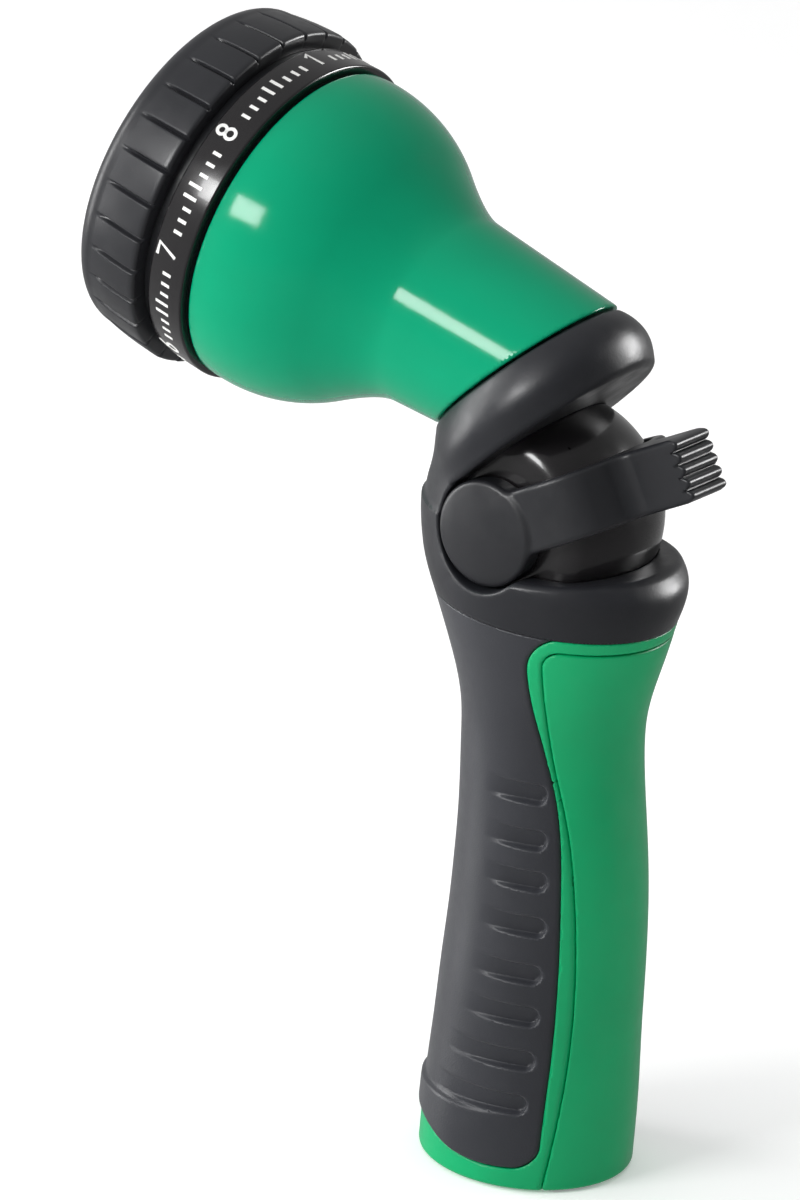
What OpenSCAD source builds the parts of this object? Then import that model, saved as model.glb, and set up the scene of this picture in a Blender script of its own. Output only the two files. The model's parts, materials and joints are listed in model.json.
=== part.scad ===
// Hose spray nozzle with a thumb lever and a turning pattern selector.
// The origin is the centre of the hose inlet's mouth and +Z runs up the handle.
// The spray head points towards -X and the lever's tab towards +X.
// The nozzle is the same on both sides of the plane Y = 0.

/* [Hose inlet] */
// Radius of the hose inlet's wall at the root of its thread
inlet_r = 13.5; // [13.2:0.1:13.8]
// Depth of the hose inlet from its mouth to the washer
inlet_depth = 12; // [10:1:14]
// Thickness of the hose washer
washer_t = 3; // [2:0.5:4]

/* [Handle] */
// Radius of the handle near its base
handle_r = 20.5; // [20:0.25:22]
// Height at which the handle ends and the valve housing starts
handle_top = 112; // [111:0.5:113]
// Height of the grip's lower edge
grip_z0 = 6; // [5:0.5:9]

/* [Valve and lever] */
// Distance of the lever's axis in front of the inlet's axis
pivot_x = 10; // [9:0.25:11]
// Height of the lever's axis
pivot_z = 128.6; // [128:0.2:130]
// Radius of the round valve chamber
chamber_r = 23; // [22.8:0.1:23.2]
// Width of the valve chamber between its flat sides
chamber_w = 29.8; // [29:0.2:30]
// Radius of the valve barrel
barrel_r = 9.45; // [9:0.05:9.6]
// Angle of the lever above level
lever_angle = 30; // [28:1:32]
// Height of the lever's arms
lever_h = 12.5; // [11:0.5:13]
// Radius of the lever's round bosses
boss_r = 10.4; // [10:0.1:10.6]
// Distance from the lever's axis to the end of its tab
tab_reach = 40; // [38:0.5:42]
// Width of the lever's tab
tab_w = 11; // [9:0.5:13]

/* [Spray head] */
// Angle of the spray head's axis above level
head_angle = 11; // [10:1:12]
// Radius of the round part of the spray head
bulb_r = 32.3; // [31.8:0.1:32.6]
// Radius of the head's neck where it meets the round part
neck_r = 19.6; // [19:0.2:20]
// Number of spray patterns on the selector
pattern_count = 8; // [6:1:8]
// Number of grip grooves round the selector's ring
groove_count = 30; // [24:1:36]
// Radius of the selector's grip ring at its widest
ring_r = 35.1; // [34.6:0.1:35.6]

/* [Hidden] */

$fn = 64;
hull_fn = 40;
slice_t = 0.4;
far = 200;
gap = 0.15;

pivot = [-pivot_x, 0, pivot_z];
seam = [-17, 0, 155.6];
seam_angle = 46;
head_origin = [-72.5, 0, 167.5];

// Handle sections: height, centre in X, half length in X, half width in Y
sections = [
  [0, 0, handle_r - 1, handle_r - 1],
  [1, 0, handle_r, handle_r],
  [14, 0, handle_r - 0.1, handle_r - 0.1],
  [52, -0.1, handle_r - 1.4, handle_r - 1.4],
  [84, -2.8, handle_r - 3, handle_r - 3.1],
  [92, -3.3, handle_r - 2.5, handle_r - 2.8],
  [104, -3.9, handle_r + 0.8, handle_r - 1],
  [handle_top, -4.9, handle_r + 3.6, handle_r + 0.3]
];

// The core under the grip: radius and height, about an axis that leans forward
core_lean = 1.5;
core_outline = [[0, 0], [17.8, 0], [16.3, 50], [15.6, 78], [15.8, 90], [18.4, 116], [0, 116]];

// Side view of the parting line between the two handle shells, as X and Z: it turns back below the top
parting = [
  [14.2, 0], [15.4, 14], [15.7, 28], [15.4, 41], [14.2, 57], [11, 75], [8, 88], [7.2, 100],
  [7.5, 106], [8.4, 108.3], [10.7, 109.3], [60, 109.4]
];
// Side view of the grip's rear edge, as X and Z
grip_edge = [[13.4, 0], [13.5, 26], [13.1, 43], [11.8, 59], [8.6, 78.5], [6, 88], [4.2, 97], [3.7, 120]];

// Waterway: a tube that leans from the socket to the lever's axis
tube_z0 = inlet_depth + washer_t + 1.5;
tube_r = 7;
tube_bore_r = 5;
tube_lean = atan2(pivot_x, pivot_z - tube_z0);
tube_end = norm([pivot_x, pivot_z - tube_z0]);
tube_socket = 15.5;
socket_r = 16;

// Outlet: from the lever's axis to the middle of the neck's seam
outlet_lean = atan2(pivot[0] - seam[0], seam[2] - pivot[2]);
outlet_len = norm([pivot[0] - seam[0], seam[2] - pivot[2]]);
port_r = 4.5;
passage_r = 4;
open_turn = 20;
spigot_r = 12;
spigot_h = 8;

// Screws that join the two handle shells: Y, Z and the X where the boss ends
screw_places = [[9.2, 36, 16.2], [9.2, 62, 14.4]];
screw_r = 1.25;
screw_head_r = 2.3;
screw_head_x = -10.6;
screw_end_gap = 4.5;
boss_x0 = 8;
boss_skin = 2.2;

// Lever and its surroundings
chamber_front = 11;
boss_in = chamber_w / 2 + 0.4;
boss_out = 18.2;
boss_face = 20.2;
recess_r = boss_r + 0.5;
rim_h = recess_r;
ledge_z = 120.8;
ledge_slope = 6.5;
drive = 8;
shoulder_rim = [118.5, -5.6, 26.5, 21.5];
shoulder_top = [124, -8, 20.5, 18.6];
shroud = [23.5, 20.5, 23.5];

// Head: the round part's centre, the neck and the fillet between them
bulb_z = -3.4;
neck_taper = 0.064;
neck_end = -72;
fillet_r = 6;
fillet_x = neck_r + fillet_r;
fillet_z = bulb_z - sqrt(pow(bulb_r + fillet_r, 2) - pow(fillet_x, 2));
tangent = atan2(fillet_z - bulb_z, fillet_x);
bulb_top = asin(-bulb_z / bulb_r);
head_wall = 2.8;
plate_r = 28.5;
plate_t = 8;

// Selector
web_z = 0.9;
web_t = 3.2;
drum_r = 31.4;
drum_in_r = 29.4;
label_len = 8.3;
ring_z0 = 11.2;
ring_z1 = 26.8;
post_r = 5;
post_top = 20;
port_ring_r = 17;
detent_ring_r = 25;
detent_r = 2;
face_z = 20.6;
face_t = 3;
hub_r = post_r + 0.06;

function arc(cx, cz, r, a0, a1, n) =
  [for (i = [0 : n]) let (a = a0 + (a1 - a0) * i / n) [cx + r * cos(a), cz + r * sin(a)]];

// A ring of round section about Z
module torus(major, minor) {
  rotate_extrude()
    translate([major, 0])
      circle(minor, $fn = 24);
}

// The space of a groove for an O-ring in the outside of a shaft about Z
module groove(shaft_r, depth, width) {
  difference() {
    cylinder(h = width, r = shaft_r + 1, center = true);
    cylinder(h = width + 1, r = shaft_r - depth, center = true);
  }
}

// A coil spring about Z that starts at z = 0
module coil(r, wire, pitch, turns) {
  sides = 6;
  steps = 14;
  rings = steps * turns;
  points = [for (i = [0 : rings], j = [0 : sides - 1])
    let (a = 360 * i / steps, b = 360 * j / sides, d = r + wire * cos(b))
      [d * cos(a), d * sin(a), wire + pitch * i / steps + wire * sin(b)]];
  walls = [for (i = [0 : rings - 1], j = [0 : sides - 1])
    let (k = (j + 1) % sides) [i * sides + j, i * sides + k, (i + 1) * sides + k, (i + 1) * sides + j]];
  first = [for (j = [0 : sides - 1]) sides - 1 - j];
  last = [for (j = [0 : sides - 1]) rings * sides + j];
  polyhedron(points, concat([first], walls, [last]));
}

module at_head() {
  translate(head_origin)
    rotate([0, head_angle - 90, 0])
      children();
}

module at_seam() {
  translate(seam)
    rotate([0, -seam_angle, 0])
      children();
}

module at_pivot() {
  translate(pivot)
    children();
}

module along_tube() {
  translate([0, 0, tube_z0])
    rotate([0, -tube_lean, 0])
      children();
}

module along_outlet() {
  at_pivot()
    rotate([0, -outlet_lean, 0])
      children();
}

// A side view outline pushed through the whole width
module through_y(width = far) {
  rotate([90, 0, 0])
    translate([0, 0, -width / 2])
      linear_extrude(width)
        children();
}

// ---- Hose inlet and waterway ----

module hose_washer() {
  color([0.12, 0.12, 0.12])
    translate([0, 0, inlet_depth + 0.1])
      difference() {
        cylinder(h = washer_t - 0.2, r = inlet_r + 0.3);
        translate([0, 0, -1])
          cylinder(h = washer_t + 2, r = 8.5);
      }
}

module inlet_screen() {
  color([0.75, 0.76, 0.78])
    translate([0, 0, inlet_depth + washer_t])
      difference() {
        cylinder(h = 0.6, r = 10);
        for (ring = [1 : 3])
          for (i = [0 : 6 * ring - 1])
            rotate([0, 0, 60 * i / ring])
              translate([2.6 * ring, 0, -1])
                cylinder(h = 3, r = 0.8, $fn = 24);
      }
}

module inlet_socket() {
  top = inlet_depth + washer_t;
  color([0.13, 0.13, 0.14])
    difference() {
      union() {
        cylinder(h = top + 8, r = socket_r);
        along_tube()
          translate([0, 0, 2])
            cylinder(h = 12, r = tube_r + 3);
      }
      translate([0, 0, -1])
        cylinder(h = inlet_depth + 1, r = inlet_r);
      translate([0, 0, inlet_depth])
        cylinder(h = washer_t, r = inlet_r + 0.4);
      translate([0, 0, top - 0.01])
        cylinder(h = 1.5, r = 10.2);
      along_tube()
        cylinder(h = 6, r = tube_bore_r);
      along_tube()
        translate([0, 0, 5])
          cylinder(h = 30, r = tube_r + 0.05);
    }
}

module waterway_tube() {
  color([0.85, 0.85, 0.83])
    along_tube()
      difference() {
        translate([0, 0, 5.2])
          cylinder(h = tube_end - tube_socket - 5.4, r = tube_r);
        translate([0, 0, -1])
          cylinder(h = tube_end, r = tube_bore_r);
        for (z = [9, tube_end - tube_socket - 4])
          translate([0, 0, z])
            groove(tube_r, 1.85, 2);
      }
}

module tube_o_rings() {
  color([0.1, 0.1, 0.1])
    along_tube()
      for (z = [9, tube_end - tube_socket - 4])
        translate([0, 0, z])
          torus(tube_r - 0.9, 0.9);
}

// ---- Handle ----

module section(s, drop = 0) {
  translate([s[1], 0, s[0] - drop])
    linear_extrude(slice_t)
      scale([s[2], s[3]])
        circle(1, $fn = hull_fn);
}

// The handle's outer form
module handle_form() {
  for (i = [0 : len(sections) - 2])
    hull() {
      section(sections[i]);
      section(sections[i + 1], slice_t);
    }
}

// The core that the grip is moulded round
module core(grow = 0) {
  rotate([0, -core_lean, 0])
    rotate_extrude()
      polygon([for (p = core_outline) [p[0] == 0 ? 0 : p[0] + grow, p[1]]]);
}

// Everything behind a side view line
module behind(line, shift = 0) {
  through_y()
    polygon(concat([for (p = line) [p[0] + shift, p[1] == 0 ? -1 : p[1]]], [[60, 120], [60, -1]]));
}

// Everything in front of a side view line
module ahead(line, shift = 0) {
  through_y()
    polygon(concat([for (p = line) [p[0] + shift, p[1] == 0 ? -1 : p[1]]], [[-60, 120], [-60, -1]]));
}

// The space inside the handle for the socket and the tube
module handle_cavity() {
  rotate([0, -core_lean, 0])
    rotate_extrude()
      polygon([[0, -3], [16.9, -3], [16.9, 26], [12.6, 41], [12.6, 125], [0, 125]]);
}

module screw_rods(x0, r, end_gap = 0) {
  for (p = screw_places, side = [-1, 1])
    translate([x0, side * p[0], p[1]])
      rotate([0, 90, 0])
        cylinder(h = p[2] - end_gap - x0, r = r, $fn = 32);
}

module handle_front_shell() {
  color([0, 0.6, 0.4])
    difference() {
      union() {
        difference() {
          handle_form();
          handle_cavity();
          grip_space();
        }
        intersection() {
          screw_rods(-16, 2.1);
          core(-1);
        }
      }
      behind(parting);
      chamber_ball(gap);
      intersection() {
        screw_rods(boss_x0, 2.8, -8);
        core(boss_skin + 0.3);
      }
      screw_rods(-40, screw_r + 0.05);
      translate([screw_head_x, 0, 0])
        for (p = screw_places, side = [-1, 1])
          translate([0, side * p[0], p[1]])
            rotate([0, -90, 0])
              cylinder(h = 20, r = screw_head_r + 0.2, $fn = 32);
    }
}

module handle_rear_cover() {
  color([0, 0.62, 0.4])
    difference() {
      union() {
        difference() {
          handle_form();
          handle_cavity();
          ahead(parting, gap);
        }
        intersection() {
          screw_rods(boss_x0 + 0.2, 2.6);
          core(boss_skin);
        }
      }
      grip_space();
      screw_rods(0, screw_r + 0.02, 1.8);
    }
}

// The space that the grip fills: the front of the handle down to its lower edge
module grip_space() {
  difference() {
    intersection() {
      translate([-60, -60, grip_z0])
        cube([120, 120, far]);
      ahead(grip_edge);
    }
    core();
  }
}

module grip() {
  color([0.17, 0.17, 0.19])
    difference() {
      handle_form();
      core(0.03);
      chamber_ball(gap);
      behind(grip_edge, -0.03);
      translate([-60, -60, grip_z0 + 0.03 - far])
        cube([120, 120, far]);
    }
}

module handle_screws() {
  color([0.7, 0.7, 0.72]) {
    screw_rods(screw_head_x, screw_r, screw_end_gap);
    for (p = screw_places, side = [-1, 1])
      translate([screw_head_x, side * p[0], p[1]])
        rotate([0, -90, 0])
          cylinder(h = 1.7, r = screw_head_r, $fn = 32);
  }
}

// ---- Valve housing, chamber and lever ----

// A slice of the collar, at a depth below the seam, with a shift towards the front
module collar_slice(depth, half_len, half_w, shift) {
  at_seam()
    translate([-shift, 0, -depth])
      linear_extrude(slice_t)
        scale([half_len, half_w])
          circle(1, $fn = hull_fn);
}

module housing_form() {
  shoulder_lo = sections[len(sections) - 1];
  hull() {
    collar_slice(0.5, 21.4, 18, 0);
    collar_slice(8, 25, 21.4, 1.4);
  }
  hull() {
    collar_slice(8, 25, 21.4, 1.4);
    collar_slice(14, 23, 20, 2.4);
    at_pivot()
      scale(shroud)
        sphere(1, $fn = hull_fn);
  }
  hull() {
    section([handle_top + 0.1, shoulder_lo[1], shoulder_lo[2], shoulder_lo[3]]);
    section(shoulder_rim);
    section(shoulder_top);
  }
  hull() {
    section(shoulder_rim);
    at_pivot()
      scale(shroud)
        sphere(1, $fn = hull_fn);
  }
}

// Side view of the open saddle that the lever swings in, about the lever's axis
module saddle() {
  polygon([
    [0, 0],
    [-rim_h * sin(seam_angle), rim_h * cos(seam_angle)],
    [far * cos(seam_angle) - rim_h * sin(seam_angle), far * sin(seam_angle) + rim_h * cos(seam_angle)],
    [far, ledge_z - pivot_z + far * tan(ledge_slope)],
    [0, ledge_z - pivot_z]
  ]);
}

module chamber_ball(grow) {
  intersection() {
    at_pivot()
      sphere(chamber_r + grow);
    translate([pivot[0] - chamber_front - grow, -chamber_w / 2 - grow, 0])
      cube([60, chamber_w + 2 * grow, far]);
  }
}

module valve_housing() {
  color([0.14, 0.14, 0.15])
    difference() {
      housing_form();
      translate([-far / 2, -far / 2, handle_top + 0.1 - far])
        cube(far);
      at_pivot()
        through_y()
          saddle();
      chamber_ball(gap);
      at_pivot()
        rotate([90, 0, 0])
          for (side = [-1, 1])
            translate([0, 0, side * (boss_in + 25 - 0.3) - 25])
              cylinder(h = 50, r = recess_r);
      at_seam()
        translate([0, 0, -12])
          cylinder(h = 20, r = spigot_r + gap);
      along_outlet()
        cylinder(h = outlet_len, r = 8.2);
      along_tube()
        translate([0, 0, tube_end - 40])
          cylinder(h = 30, r = tube_r + 3.2);
    }
}

module valve_chamber() {
  color([0.09, 0.09, 0.1])
    difference() {
      union() {
        chamber_ball(0);
        along_outlet()
          cylinder(h = outlet_len, r = 8);
        at_seam()
          translate([0, 0, -5])
            cylinder(h = 5 + spigot_h, r = spigot_r);
      }
      at_pivot()
        rotate([90, 0, 0])
          cylinder(h = 60, r = barrel_r + 0.05, center = true);
      along_outlet()
        cylinder(h = outlet_len + 1, r = port_r);
      along_outlet()
        cylinder(h = 13.1, r = 7.05);
      at_seam()
        translate([0, 0, -1])
          cylinder(h = 20, r = 9);
      at_seam()
        translate([0, 0, 4])
          groove(spigot_r, 1.85, 2);
      along_tube()
        translate([0, 0, tube_end - 14])
          cylinder(h = 14, r = port_r);
      along_tube()
        translate([0, 0, tube_end - 13.1])
          cylinder(h = 13.1, r = 7.05);
      along_tube()
        translate([0, 0, tube_end - tube_socket - 20])
          cylinder(h = 20, r = tube_r + 0.05);
    }
}

module seat_seal() {
  difference() {
    cylinder(h = 13, r = 7);
    translate([0, 0, -1])
      cylinder(h = 20, r = port_r);
    rotate([90, 0, 0])
      cylinder(h = 60, r = barrel_r + 0.1, center = true);
  }
}

module seat_seals() {
  color([0.2, 0.2, 0.2]) {
    along_outlet()
      seat_seal();
    along_tube()
      translate([0, 0, tube_end])
        rotate([180, 0, 0])
          seat_seal();
  }
}

module outlet_o_ring() {
  color([0.1, 0.1, 0.1])
    at_seam()
      translate([0, 0, 4])
        torus(spigot_r - 0.9, 0.9);
}

// The barrel with its bent water passage, at the lever's rest angle
module valve_barrel() {
  half = chamber_w / 2 - 0.3;
  color([0.88, 0.88, 0.86])
    at_pivot()
      difference() {
        union() {
          rotate([90, 0, 0])
            cylinder(h = 2 * half, r = barrel_r, center = true);
          rotate([0, -lever_angle, 0])
            cube([drive, 2 * (boss_out - 1.3), drive], center = true);
        }
        for (side = [-1, 1])
          translate([0, side * 12, 0])
            rotate([90, 0, 0])
              groove(barrel_r, 1.85, 2);
        rotate([0, open_turn - outlet_lean, 0])
          cylinder(h = 30, r = passage_r);
        rotate([0, open_turn - tube_lean, 0])
          translate([0, 0, -30])
            cylinder(h = 30, r = passage_r);
        sphere(passage_r + 0.8);
      }
}

module barrel_o_rings() {
  color([0.1, 0.1, 0.1])
    at_pivot()
      for (side = [-1, 1])
        translate([0, side * 12, 0])
          rotate([90, 0, 0])
            torus(barrel_r - 0.9, 0.9);
}

// Plan of the lever about its axis, with X along its arms
module lever_plan() {
  inner_r = chamber_r + 0.5;
  outer_r = inner_r + 3;
  bend_r = 5;
  difference() {
    union() {
      offset(r = bend_r)
        offset(delta = -bend_r)
          intersection() {
            circle(outer_r);
            translate([-bend_r, -boss_out])
              square([far, 2 * boss_out]);
          }
      translate([outer_r - 4, -tab_w / 2])
        square([tab_reach - outer_r + 4, tab_w]);
    }
    translate([-far, -far])
      square([far, 2 * far]);
    intersection() {
      circle(inner_r);
      translate([-far, -boss_in])
        square([2 * far, 2 * boss_in]);
    }
  }
}

module lever() {
  ridge_count = 5;
  ridge_pitch = lever_h / ridge_count;
  color([0.13, 0.13, 0.14])
    at_pivot()
      rotate([0, -lever_angle, 0])
        difference() {
          union() {
            translate([0, 0, -lever_h / 2])
              linear_extrude(lever_h)
                lever_plan();
            rotate([90, 0, 0])
              for (side = [-1, 1])
                translate([0, 0, side * (boss_in + boss_face) / 2])
                  cylinder(h = boss_face - boss_in, r = boss_r, center = true);
          }
          cube([drive + 0.1, 2 * boss_out - 2.4, drive + 0.1], center = true);
          for (i = [1 : ridge_count - 1])
            translate([tab_reach, 0, ridge_pitch * i - lever_h / 2])
              cube([2, far, 1], center = true);
        }
}

// ---- Spray head ----

module head_outline() {
  polygon(concat(
    [[0, 0]],
    arc(0, bulb_z, bulb_r, bulb_top, tangent, 18),
    arc(fillet_x, fillet_z, fillet_r, tangent + 180, 180, 6),
    [[neck_r - neck_taper * (fillet_z - neck_end), neck_end], [0, neck_end]]
  ));
}

module head_body() {
  color([0, 0.6, 0.42])
    difference() {
      at_head()
        rotate_extrude()
          head_outline();
      at_seam()
        translate([-far / 2, -far / 2, -far])
          cube([far, far, far]);
      at_seam()
        translate([0, 0, -1])
          cylinder(h = spigot_h + 1.2, r = spigot_r + 0.05);
      at_head()
        intersection() {
          translate([0, 0, bulb_z])
            sphere(bulb_r - head_wall);
          translate([0, 0, -80])
            cylinder(h = 72, r = 40);
        }
      at_head()
        translate([0, 0, -48])
          cylinder(h = 25, r = 12.5);
      at_head()
        translate([0, 0, -plate_t - 0.3])
          cylinder(h = plate_t + 2, r = plate_r + 0.3);
    }
}

module at_ports(ring_r, count = pattern_count) {
  for (i = [0 : count - 1])
    rotate([0, 0, 360 * i / count])
      translate([ring_r, 0, 0])
        children();
}

module flow_plate() {
  color([0.8, 0.8, 0.78])
    at_head()
      difference() {
        union() {
          translate([0, 0, -plate_t])
            cylinder(h = plate_t, r = plate_r);
          cylinder(h = post_top, r = post_r);
        }
        translate([0, 0, -4])
          groove(plate_r, 1.55, 1.9);
        translate([port_ring_r, 0, -10])
          cylinder(h = 12, r = 3.5);
        translate([port_ring_r, 0, -5])
          cylinder(h = 6, r = 5.6);
        translate([-detent_ring_r, 0, -6])
          cylinder(h = 8, r = 2.2);
        translate([0, 0, 2.5])
          groove(post_r, 1.5, 1.7);
        translate([0, 0, post_top - 12])
          cylinder(h = 13, r = 1.7);
      }
}

module plate_o_ring() {
  color([0.1, 0.1, 0.1])
    at_head()
      translate([0, 0, -4])
        torus(plate_r - 0.65, 0.85);
}

module port_seal() {
  color([0.12, 0.12, 0.12])
    at_head()
      translate([port_ring_r, 0, -2.4])
        difference() {
          cylinder(h = 3, r = 5.4);
          translate([0, 0, -1])
            cylinder(h = 5, r = 3.4);
        }
}

module seal_spring() {
  color([0.75, 0.75, 0.77])
    at_head()
      translate([port_ring_r, 0, -4.95])
        coil(4.5, 0.3, 0.9, 2);
}

module detent_ball() {
  color([0.8, 0.8, 0.82])
    at_head()
      translate([-detent_ring_r, 0, 0])
        sphere(detent_r);
}

module detent_spring() {
  color([0.75, 0.75, 0.77])
    at_head()
      translate([-detent_ring_r, 0, -5.95])
        coil(1.6, 0.25, 0.9, 4);
}

module spindle_o_ring() {
  color([0.1, 0.1, 0.1])
    at_head()
      translate([0, 0, 2.5])
        torus(4.25, 0.74);
}

module selector_drum() {
  color([0.1, 0.1, 0.11])
    at_head()
      difference() {
        translate([0, 0, web_z])
          cylinder(h = face_z + face_t - web_z, r = drum_r);
        translate([0, 0, web_z + web_t])
          difference() {
            cylinder(h = far, r = drum_in_r);
            translate([0, 0, -1])
              cylinder(h = post_top - web_z - web_t + 0.7, r = post_r + 2.5);
          }
        translate([0, 0, -1])
          cylinder(h = far, r = hub_r);
        translate([0, 0, -1])
          at_ports(port_ring_r)
            cylinder(h = 20, r = 3);
        torus(detent_ring_r, detent_r + 0.15);
        at_ports(detent_ring_r)
          sphere(detent_r + 0.4);
      }
}

module label_ring() {
  color([0.1, 0.1, 0.11])
    at_head()
      translate([0, 0, web_z])
        difference() {
          cylinder(h = label_len, r1 = 33.2, r2 = 32.9);
          translate([0, 0, -1])
            cylinder(h = label_len + 2, r = drum_r + 0.05);
        }
}

module grip_ring() {
  front_r = ring_r - 1.2;
  round_r = 3.6;
  lip_r = 27.4;
  groove_len = 10.5;
  color([0.2, 0.2, 0.22])
    at_head()
      difference() {
        rotate_extrude()
          polygon(concat(
            [[drum_r + 0.05, ring_z0], [ring_r, ring_z0]],
            arc(front_r - round_r, ring_z1 - round_r, round_r, 0, 90, 8),
            [[28.6, ring_z1], [lip_r, ring_z1 - 1.5]],
            [[lip_r, face_z + face_t + 0.1], [drum_r + 0.05, face_z + face_t + 0.1]]
          ));
        for (i = [0 : groove_count - 1])
          rotate([0, 0, 360 * (i + 0.5) / groove_count])
            translate([ring_r - 0.9, -0.4, ring_z0 - 1])
              cube([2, 0.8, groove_len + 1]);
      }
}

module face_plate() {
  color([0.13, 0.13, 0.14])
    at_head()
      difference() {
        translate([0, 0, face_z])
          cylinder(h = face_t, r = drum_in_r - 0.05);
        translate([0, 0, face_z - 1])
          cylinder(h = far, r = 8);
        translate([0, 0, face_z - 1])
          for (i = [0 : pattern_count - 1])
            rotate([0, 0, 360 * i / pattern_count])
              spray_holes(i);
      }
}

// Spray patterns: shower, flat, jet, cone and mist
module spray_holes(i) {
  kind = i % 4;
  if (kind == 0)
    for (row = [0 : 2], side = [-1 : 1])
      translate([13 + 4 * row, side * (2.4 + row * 0.6), 0])
        cylinder(h = 10, r = 0.8, $fn = 24);
  if (kind == 1)
    translate([17.5, 0, 5])
      cube([1.2, 10, 10], center = true);
  if (kind >= 2)
    translate([17, 0, 0])
      cylinder(h = 10, r = 3.4);
}

module spray_inserts() {
  color([0.2, 0.2, 0.22])
    at_head()
      for (i = [0 : pattern_count - 1])
        if (i % 4 >= 2)
          rotate([0, 0, 360 * i / pattern_count])
            translate([17, 0, face_z])
              difference() {
                cylinder(h = face_t + 0.6, r = 3.35);
                translate([0, 0, -1])
                  cylinder(h = 10, r = i % 4 == 2 ? 1.6 : 0.6, $fn = 24);
              }
}

module screw_washer() {
  color([0.7, 0.7, 0.72])
    at_head()
      translate([0, 0, post_top])
        difference() {
          cylinder(h = 0.8, r = 6.8);
          translate([0, 0, -1])
            cylinder(h = 3, r = 2);
        }
}

module centre_screw() {
  color([0.72, 0.72, 0.74])
    at_head()
      difference() {
        union() {
          translate([0, 0, post_top + 0.8])
            cylinder(h = 2.4, r1 = 4, r2 = 3.6);
          translate([0, 0, post_top - 10])
            cylinder(h = 11, r = 1.6);
        }
        for (turn = [0, 90])
          rotate([0, 0, turn])
            translate([0, 0, post_top + 3.2])
              cube([4.4, 0.9, 2.6], center = true);
      }
}

hose_washer();
inlet_screen();
inlet_socket();
waterway_tube();
tube_o_rings();
handle_front_shell();
handle_rear_cover();
grip();
handle_screws();
valve_housing();
valve_chamber();
seat_seals();
outlet_o_ring();
valve_barrel();
barrel_o_rings();
lever();
head_body();
flow_plate();
plate_o_ring();
port_seal();
seal_spring();
detent_ball();
detent_spring();
spindle_o_ring();
selector_drum();
label_ring();
grip_ring();
face_plate();
spray_inserts();
screw_washer();
centre_screw();
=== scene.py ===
"""Looks of a hose spray nozzle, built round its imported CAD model.

Shapes are worked out in millimetres in the CAD's own frame and turned into metres when a mesh is made.
Moulded parts are distance fields: a function of position that is negative inside the part.
"""
import json
import math

import bpy
import numpy as np
from mathutils import Matrix, Vector


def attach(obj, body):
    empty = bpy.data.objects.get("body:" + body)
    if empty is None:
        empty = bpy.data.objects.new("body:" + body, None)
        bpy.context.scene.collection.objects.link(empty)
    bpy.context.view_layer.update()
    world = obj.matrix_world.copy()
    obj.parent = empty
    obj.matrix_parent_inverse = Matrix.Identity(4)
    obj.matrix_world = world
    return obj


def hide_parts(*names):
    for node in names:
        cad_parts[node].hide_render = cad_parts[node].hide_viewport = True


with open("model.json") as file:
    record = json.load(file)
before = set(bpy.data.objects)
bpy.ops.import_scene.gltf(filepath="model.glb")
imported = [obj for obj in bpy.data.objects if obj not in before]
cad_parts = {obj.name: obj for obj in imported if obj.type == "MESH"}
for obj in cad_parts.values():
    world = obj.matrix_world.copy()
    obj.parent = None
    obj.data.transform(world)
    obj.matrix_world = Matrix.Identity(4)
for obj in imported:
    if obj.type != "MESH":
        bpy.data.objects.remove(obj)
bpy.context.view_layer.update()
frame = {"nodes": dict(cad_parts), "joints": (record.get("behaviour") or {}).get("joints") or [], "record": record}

MM = 0.001
JOINTS = {joint["name"]: joint for joint in frame["joints"]}


def joint_place(name):
    """A joint's position in millimetres and its axis."""
    joint = JOINTS[name]
    axis = np.array(joint["axis"], float)
    return np.array(joint["pos_m"], float) / MM, axis / np.linalg.norm(axis)


PIVOT, _ = joint_place("lever_hinge")
HEAD, FORWARD = joint_place("selector_turn")
SIDE = np.array([0.0, 1.0, 0.0])
UP = np.cross(SIDE, FORWARD)

# The seam between the neck and the valve housing
SEAM = np.array([-17.0, 0.0, 155.6])
SEAM_ANGLE = math.radians(46)
SEAM_OUT = np.array([-math.sin(SEAM_ANGLE), 0.0, math.cos(SEAM_ANGLE)])
SEAM_ALONG = np.array([math.cos(SEAM_ANGLE), 0.0, math.sin(SEAM_ANGLE)])

# The lever at rest: along its arms, and square to them
LEVER_ANGLE = math.radians(30)
LEVER_X = np.array([math.cos(LEVER_ANGLE), 0.0, math.sin(LEVER_ANGLE)])
LEVER_Z = np.array([-math.sin(LEVER_ANGLE), 0.0, math.cos(LEVER_ANGLE)])

HANDLE_TOP = 112.0
CORE_LEAN = math.radians(1.5)
CORE_AXIS = np.array([-math.sin(CORE_LEAN), 0.0, math.cos(CORE_LEAN)])


# ---- Curves and distance fields ----

def smooth_curve(xs, ys, count=800):
    """A function that follows a natural cubic spline through the points (xs, ys)."""
    xs, ys = np.array(xs, float), np.array(ys, float)
    h = np.diff(xs)
    n = len(xs)
    a, b = np.eye(n), np.zeros(n)
    for i in range(1, n - 1):
        a[i, i - 1:i + 2] = h[i - 1], 2 * (h[i - 1] + h[i]), h[i]
        b[i] = 6 * ((ys[i + 1] - ys[i]) / h[i] - (ys[i] - ys[i - 1]) / h[i - 1])
    m = np.linalg.solve(a, b)
    t = np.linspace(xs[0], xs[-1], count)
    i = np.clip(np.searchsorted(xs, t, side="right") - 1, 0, n - 2)
    u, v = t - xs[i], xs[i + 1] - t
    y = (m[i] * v ** 3 + m[i + 1] * u ** 3) / (6 * h[i])
    y += (ys[i] / h[i] - m[i] * h[i] / 6) * v + (ys[i + 1] / h[i] - m[i + 1] * h[i] / 6) * u
    return lambda q: np.interp(q, t, y)


def straight_curve(xs, ys):
    return lambda q: np.interp(q, xs, ys)


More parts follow.
